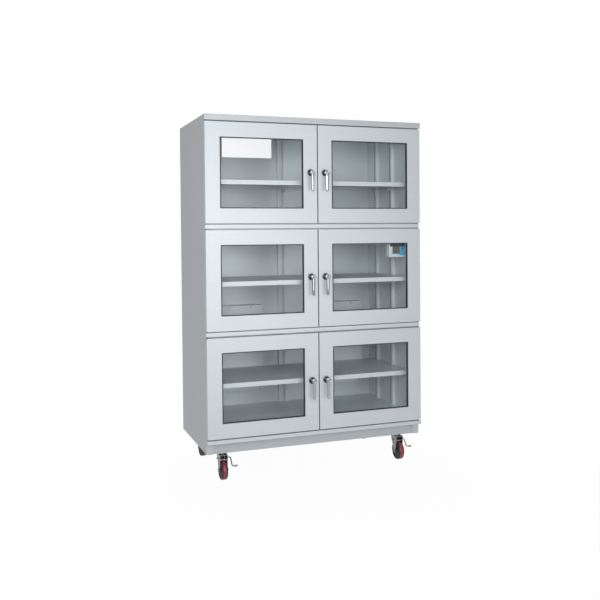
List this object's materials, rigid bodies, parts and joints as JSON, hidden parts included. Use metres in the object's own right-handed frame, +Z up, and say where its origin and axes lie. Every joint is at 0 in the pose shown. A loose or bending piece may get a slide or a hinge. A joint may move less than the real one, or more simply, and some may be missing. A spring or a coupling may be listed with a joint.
{
  "type": "desiccator cabinet",
  "caption": "Free-standing glazed dry storage cabinet with lever-latched hinged doors, internal shelves and swivel castors.",
  "frame": {"origin": "on the floor, under the middle of the whole cabinet's box", "axes": "+Z up, -Y out of the doors, +X to the right seen from the front"},
  "size_m": [1.2, 0.682, 1.866],
  "materials": {
    "cabinet_steel": "fine horizontal hairline grain",
    "door_steel": "fine horizontal hairline grain",
    "interior_steel": "satin light grey coating",
    "glass": "clear float glass",
    "rubber": "soft matt black",
    "chrome": "polished plating",
    "zinc_plate": "bright zinc plating",
    "red_polyurethane": "dark red moulded tread",
    "white_plastic": "off-white moulding",
    "black_plastic": "black moulding"
  },
  "bodies": {
    "carcass": {"side_panel_left": "cabinet_steel", "side_panel_right": "cabinet_steel", "back_panel": "cabinet_steel", "top_panel": "cabinet_steel", "liners": "interior_steel", "base_frame": "cabinet_steel", "front_frame": "cabinet_steel", "shelf_standards": "interior_steel", "shelves": "interior_steel", "shelf_clips": "zinc_plate", "drying_units": "interior_steel", "humidity_controller": "white_plastic", "mains_inlet": "black_plastic", "castor_plates": "zinc_plate"},
    "lower_left_door": {"lower_left_door_shell": "door_steel", "lower_left_glass": "glass", "lower_left_seals": "rubber", "lower_left_door_hardware": "chrome"},
    "lower_left_handle": {"lower_left_lever": "chrome"},
    "lower_left_lock": {"lower_left_lock_cylinder": "chrome"},
    "lower_right_door": {"lower_right_door_shell": "door_steel", "lower_right_glass": "glass", "lower_right_seals": "rubber", "lower_right_door_hardware": "chrome"},
    "lower_right_handle": {"lower_right_lever": "chrome"},
    "lower_right_lock": {"lower_right_lock_cylinder": "chrome"},
    "middle_left_door": {"middle_left_door_shell": "door_steel", "middle_left_glass": "glass", "middle_left_seals": "rubber", "middle_left_door_hardware": "chrome"},
    "middle_left_handle": {"middle_left_lever": "chrome"},
    "middle_left_lock": {"middle_left_lock_cylinder": "chrome"},
    "middle_right_door": {"middle_right_door_shell": "door_steel", "middle_right_glass": "glass", "middle_right_seals": "rubber", "middle_right_door_hardware": "chrome"},
    "middle_right_handle": {"middle_right_lever": "chrome"},
    "middle_right_lock": {"middle_right_lock_cylinder": "chrome"},
    "upper_left_door": {"upper_left_door_shell": "door_steel", "upper_left_glass": "glass", "upper_left_seals": "rubber", "upper_left_door_hardware": "chrome"},
    "upper_left_handle": {"upper_left_lever": "chrome"},
    "upper_left_lock": {"upper_left_lock_cylinder": "chrome"},
    "upper_right_door": {"upper_right_door_shell": "door_steel", "upper_right_glass": "glass", "upper_right_seals": "rubber", "upper_right_door_hardware": "chrome"},
    "upper_right_handle": {"upper_right_lever": "chrome"},
    "upper_right_lock": {"upper_right_lock_cylinder": "chrome"},
    "front_left_swivel": {"front_left_castor_fork": "zinc_plate"},
    "front_left_wheel": {"front_left_castor_wheel": "red_polyurethane"},
    "front_left_brake": {"front_left_brake_lever": "zinc_plate"},
    "front_right_swivel": {"front_right_castor_fork": "zinc_plate"},
    "front_right_wheel": {"front_right_castor_wheel": "red_polyurethane"},
    "front_right_brake": {"front_right_brake_lever": "zinc_plate"},
    "rear_left_swivel": {"rear_left_castor_fork": "zinc_plate"},
    "rear_left_wheel": {"rear_left_castor_wheel": "red_polyurethane"},
    "rear_right_swivel": {"rear_right_castor_fork": "zinc_plate"},
    "rear_right_wheel": {"rear_right_castor_wheel": "red_polyurethane"}
  },
  "joints": [
    {"name": "lower_left_door_hinge", "type": "hinge", "parent": "carcass", "child": "lower_left_door", "pos_m": [-0.591, -0.28, 0.487], "axis": [0, 0, -1], "range_deg": [0, 110]},
    {"name": "lower_left_lever_turn", "type": "hinge", "parent": "lower_left_door", "child": "lower_left_handle", "pos_m": [-0.04, -0.299, 0.495], "axis": [0, 1, 0], "range_deg": [0, 90]},
    {"name": "lower_left_lock_turn", "type": "hinge", "parent": "lower_left_handle", "child": "lower_left_lock", "pos_m": [-0.04, -0.299, 0.495], "axis": [0, 1, 0], "range_deg": [0, 90]},
    {"name": "lower_right_door_hinge", "type": "hinge", "parent": "carcass", "child": "lower_right_door", "pos_m": [0.591, -0.28, 0.487], "axis": [0, 0, 1], "range_deg": [0, 110]},
    {"name": "lower_right_lever_turn", "type": "hinge", "parent": "lower_right_door", "child": "lower_right_handle", "pos_m": [0.04, -0.299, 0.495], "axis": [0, -1, 0], "range_deg": [0, 90]},
    {"name": "lower_right_lock_turn", "type": "hinge", "parent": "lower_right_handle", "child": "lower_right_lock", "pos_m": [0.04, -0.299, 0.495], "axis": [0, -1, 0], "range_deg": [0, 90]},
    {"name": "middle_left_door_hinge", "type": "hinge", "parent": "carcass", "child": "middle_left_door", "pos_m": [-0.591, -0.28, 1.031], "axis": [0, 0, -1], "range_deg": [0, 110]},
    {"name": "middle_left_lever_turn", "type": "hinge", "parent": "middle_left_door", "child": "middle_left_handle", "pos_m": [-0.04, -0.299, 1.039], "axis": [0, 1, 0], "range_deg": [0, 90]},
    {"name": "middle_left_lock_turn", "type": "hinge", "parent": "middle_left_handle", "child": "middle_left_lock", "pos_m": [-0.04, -0.299, 1.039], "axis": [0, 1, 0], "range_deg": [0, 90]},
    {"name": "middle_right_door_hinge", "type": "hinge", "parent": "carcass", "child": "middle_right_door", "pos_m": [0.591, -0.28, 1.031], "axis": [0, 0, 1], "range_deg": [0, 110]},
    {"name": "middle_right_lever_turn", "type": "hinge", "parent": "middle_right_door", "child": "middle_right_handle", "pos_m": [0.04, -0.299, 1.039], "axis": [0, -1, 0], "range_deg": [0, 90]},
    {"name": "middle_right_lock_turn", "type": "hinge", "parent": "middle_right_handle", "child": "middle_right_lock", "pos_m": [0.04, -0.299, 1.039], "axis": [0, -1, 0], "range_deg": [0, 90]},
    {"name": "upper_left_door_hinge", "type": "hinge", "parent": "carcass", "child": "upper_left_door", "pos_m": [-0.591, -0.28, 1.575], "axis": [0, 0, -1], "range_deg": [0, 110]},
    {"name": "upper_left_lever_turn", "type": "hinge", "parent": "upper_left_door", "child": "upper_left_handle", "pos_m": [-0.04, -0.299, 1.583], "axis": [0, 1, 0], "range_deg": [0, 90]},
    {"name": "upper_left_lock_turn", "type": "hinge", "parent": "upper_left_handle", "child": "upper_left_lock", "pos_m": [-0.04, -0.299, 1.583], "axis": [0, 1, 0], "range_deg": [0, 90]},
    {"name": "upper_right_door_hinge", "type": "hinge", "parent": "carcass", "child": "upper_right_door", "pos_m": [0.591, -0.28, 1.575], "axis": [0, 0, 1], "range_deg": [0, 110]},
    {"name": "upper_right_lever_turn", "type": "hinge", "parent": "upper_right_door", "child": "upper_right_handle", "pos_m": [0.04, -0.299, 1.583], "axis": [0, -1, 0], "range_deg": [0, 90]},
    {"name": "upper_right_lock_turn", "type": "hinge", "parent": "upper_right_handle", "child": "upper_right_lock", "pos_m": [0.04, -0.299, 1.583], "axis": [0, -1, 0], "range_deg": [0, 90]},
    {"name": "front_left_swivel_turn", "type": "hinge", "parent": "carcass", "child": "front_left_swivel", "pos_m": [-0.5, -0.177, 0.14], "axis": [0, 0, 1], "continuous": true},
    {"name": "front_left_wheel_spin", "type": "hinge", "parent": "front_left_swivel", "child": "front_left_wheel", "pos_m": [-0.5, -0.21, 0.05], "axis": [1, 0, 0], "continuous": true},
    {"name": "front_left_brake_press", "type": "hinge", "parent": "front_left_swivel", "child": "front_left_brake", "pos_m": [-0.5, -0.19, 0.108], "axis": [1, 0, 0], "range_deg": [0, 12]},
    {"name": "front_right_swivel_turn", "type": "hinge", "parent": "carcass", "child": "front_right_swivel", "pos_m": [0.5, -0.177, 0.14], "axis": [0, 0, 1], "continuous": true},
    {"name": "front_right_wheel_spin", "type": "hinge", "parent": "front_right_swivel", "child": "front_right_wheel", "pos_m": [0.5, -0.21, 0.05], "axis": [1, 0, 0], "continuous": true},
    {"name": "front_right_brake_press", "type": "hinge", "parent": "front_right_swivel", "child": "front_right_brake", "pos_m": [0.5, -0.19, 0.108], "axis": [1, 0, 0], "range_deg": [0, 12]},
    {"name": "rear_left_swivel_turn", "type": "hinge", "parent": "carcass", "child": "rear_left_swivel", "pos_m": [-0.5, 0.247, 0.14], "axis": [0, 0, 1], "continuous": true},
    {"name": "rear_left_wheel_spin", "type": "hinge", "parent": "rear_left_swivel", "child": "rear_left_wheel", "pos_m": [-0.5, 0.28, 0.05], "axis": [1, 0, 0], "continuous": true},
    {"name": "rear_right_swivel_turn", "type": "hinge", "parent": "carcass", "child": "rear_right_swivel", "pos_m": [0.5, 0.247, 0.14], "axis": [0, 0, 1], "continuous": true},
    {"name": "rear_right_wheel_spin", "type": "hinge", "parent": "rear_right_swivel", "child": "rear_right_wheel", "pos_m": [0.5, 0.28, 0.05], "axis": [1, 0, 0], "continuous": true}
  ]
}
